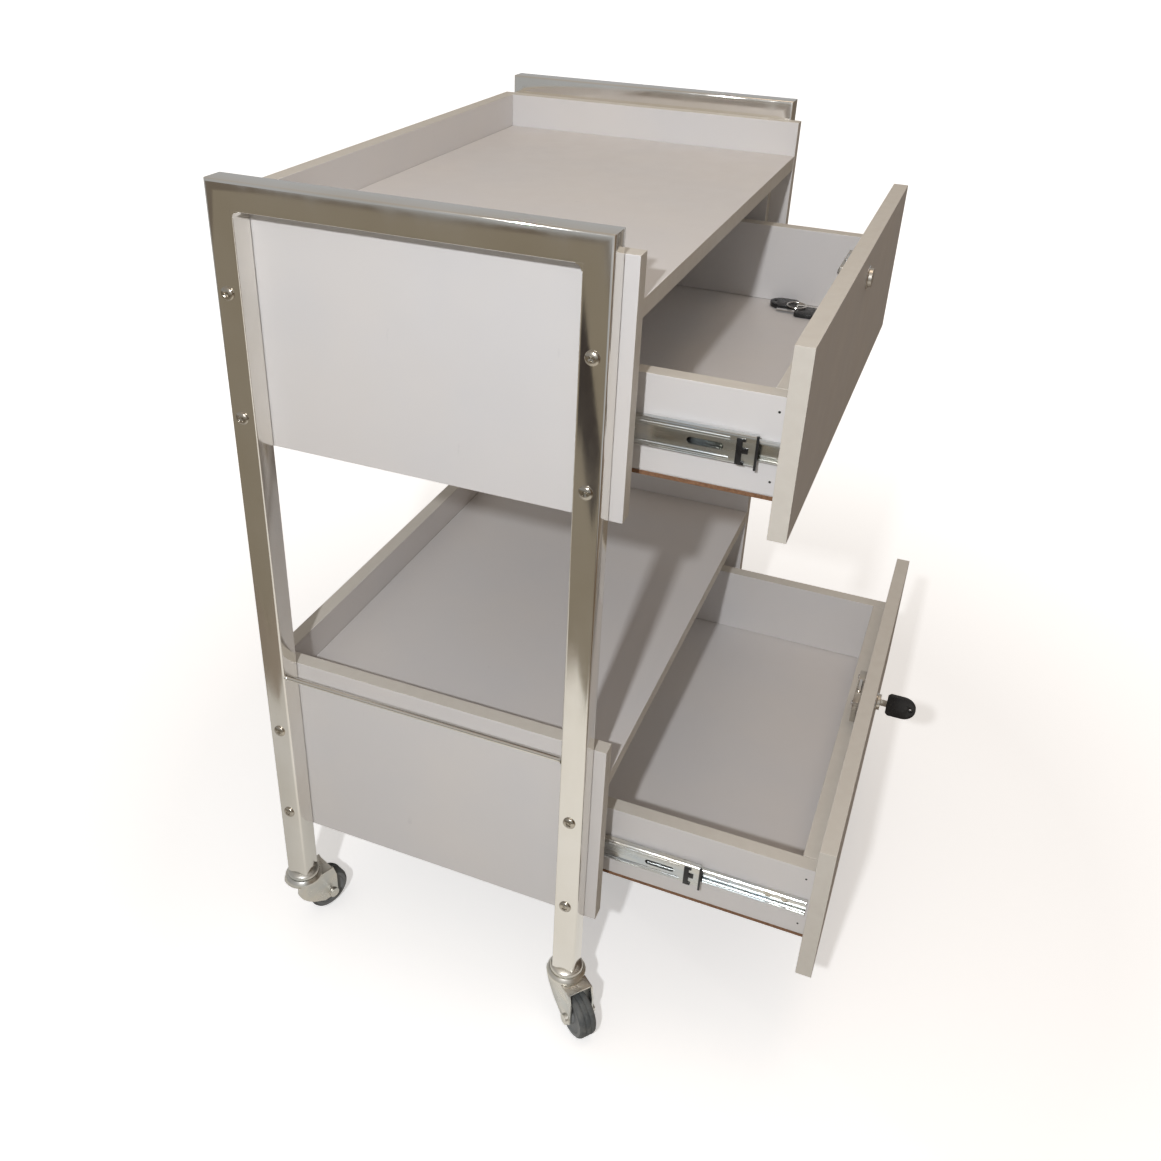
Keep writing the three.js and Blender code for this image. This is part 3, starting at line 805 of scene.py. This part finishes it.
def plain_surface(name, base, glow, strength):
    """A matt surface with a little light of its own."""
    look = Look(name, Roughness=0.9)
    look.shader.inputs["Emission Color"].default_value = (*glow, 1)
    look.shader.inputs["Emission Strength"].default_value = strength
    look.feed("Base Color", look.tint(look.noise(1.5, 2), base, tuple(1.02 * c for c in base)))
    return look.material


def fading_surface(name, base, glow, center, radii, strengths):
    """A matt surface whose own light changes with distance from a point, between two radii."""
    look = Look(name, Roughness=0.9)
    look.feed("Base Color", look.tint(look.noise(1.5, 2), base, tuple(1.02 * c for c in base)))
    look.shader.inputs["Emission Color"].default_value = (*glow, 1)
    position = look.node("ShaderNodeNewGeometry").outputs["Position"]
    measure = look.node("ShaderNodeVectorMath", operation="DISTANCE")
    look.tree.links.new(position, measure.inputs[0])
    measure.inputs[1].default_value = center
    look.feed("Emission Strength", look.remap(measure.outputs["Value"], *strengths, *radii))
    return look.material


# The floor that is seen is white paper, which glows less near the middle, so that the trolley's shadow
# shows. What lights the trolley from below, and reflects in it, is the dimmer, browner floor of an
# ordinary room just under that paper.
staged_plane("studio_floor", (60, 60), (0, 0, 0), (0, 0, 0),
             fading_surface("floor_paper", (0.93, 0.93, 0.93), (1, 1, 1), (0, 0, 0), (0.6, 1.5), (0.4, 0.8)),
             ("camera",))
staged_plane("room_floor", (12, 12), (0, 0, -0.002), (0, 0, 0),
             plain_surface("floor_room", (0.33, 0.29, 0.24), (1, 0.9, 0.8), 0.0), ("diffuse", "glossy"))
staged_plane("room_front_wall", (5.0, 3.0), (-0.2, -2.6, 1.2), (math.radians(90), 0, 0),
             plain_surface("wall_shade", (0.14, 0.095, 0.055), (0.14, 0.098, 0.06), 0.7),
             ("diffuse", "glossy"))
# Seen in reflections only: a brown rug to the left, a dark patch on it, and the lit paper close by.
staged_plane("room_rug", (3.8, 4.4), (-2.8, 1.5, 0.001), (0, 0, 0),
             plain_surface("rug_brown", (0.02, 0.02, 0.02), (0.24, 0.205, 0.15), 0.9), ("glossy",))
staged_plane("room_rug_patch", (0.7, 0.6), (-1.9, 0.5, 0.002), (0, 0, 0),
             plain_surface("rug_dark", (0.01, 0.01, 0.01), (0.03, 0.022, 0.018), 0.9), ("glossy",))
staged_plane("room_lit_paper", (0.75, 2.2), (-0.44, 0.225, 0.003), (0, 0, math.radians(-24)),
             fading_surface("paper_lit", (0.3, 0.3, 0.29), (0.62, 0.60, 0.56), (-0.7, -0.4, 0), (0.6, 0.85),
                            (0.9, 0.5)), ("glossy",))


def area_light(name, place, target, size, energy, color):
    """A square lamp that faces its target."""
    data = bpy.data.lights.new(name, "AREA")
    data.shape = "SQUARE"
    data.size = size
    data.energy = energy
    data.color = color
    light = bpy.data.objects.new(name, data)
    light.location = place
    direction = Vector(target) - Vector(place)
    light.rotation_euler = direction.to_track_quat("-Z", "Y").to_euler()
    bpy.context.scene.collection.objects.link(light)


# A small hard light behind and above the camera gives the crisp shadows. The other is a dim ceiling lamp.
area_light("flash", (-1.62, -0.15, 1.5), (0, 0, 0.5), 0.05, 17, (0.97, 0.98, 1))
area_light("ceiling_lamp", (0.1, -0.42, 2.6), (0, 0.1, 0.4), 0.8, 5, (1, 0.80, 0.62))

world = bpy.data.worlds.new("studio_world")
bpy.context.scene.world = world
world.use_nodes = True
# The room is cool at eye level and warmer overhead.
background = world.node_tree.nodes["Background"]
direction = world.node_tree.nodes.new("ShaderNodeTexCoord").outputs["Generated"]
split = world.node_tree.nodes.new("ShaderNodeSeparateXYZ")
blend = world.node_tree.nodes.new("ShaderNodeMix")
blend.data_type = "RGBA"
blend.inputs[6].default_value = (0.95, 0.975, 1.0, 1)
blend.inputs[7].default_value = (1.0, 0.88, 0.76, 1)
world.node_tree.links.new(direction, split.inputs[0])
world.node_tree.links.new(split.outputs["Z"], blend.inputs[0])
world.node_tree.links.new(blend.outputs[2], background.inputs["Color"])
background.inputs["Strength"].default_value = 0.44

# The camera looks down at the trolley from its left side, a little to the front.
camera_data = bpy.data.cameras.new("camera")
camera_data.sensor_width = 36
camera_data.lens = 34.73
camera_data.shift_x = 0.0244
camera_data.shift_y = -0.0556
camera_data.clip_start = 0.01
camera = bpy.data.objects.new("camera", camera_data)
azimuth, elevation, roll = (math.radians(v) for v in (-68.807, 29.766, 1.910))
backward = Vector((math.sin(azimuth) * math.cos(elevation), -math.cos(azimuth) * math.cos(elevation),
                   math.sin(elevation)))
level_right = Vector((math.cos(azimuth), math.sin(azimuth), 0))
level_up = backward.cross(level_right)
right = math.cos(roll) * level_right + math.sin(roll) * level_up
up = math.cos(roll) * level_up - math.sin(roll) * level_right
axes = Matrix((right, up, backward)).transposed().to_4x4()
camera.matrix_world = Matrix.Translation((-1.0753, -0.2926, 1.0864)) @ axes
bpy.context.scene.collection.objects.link(camera)
bpy.context.scene.camera = camera
bpy.context.scene.view_settings.view_transform = "Standard"
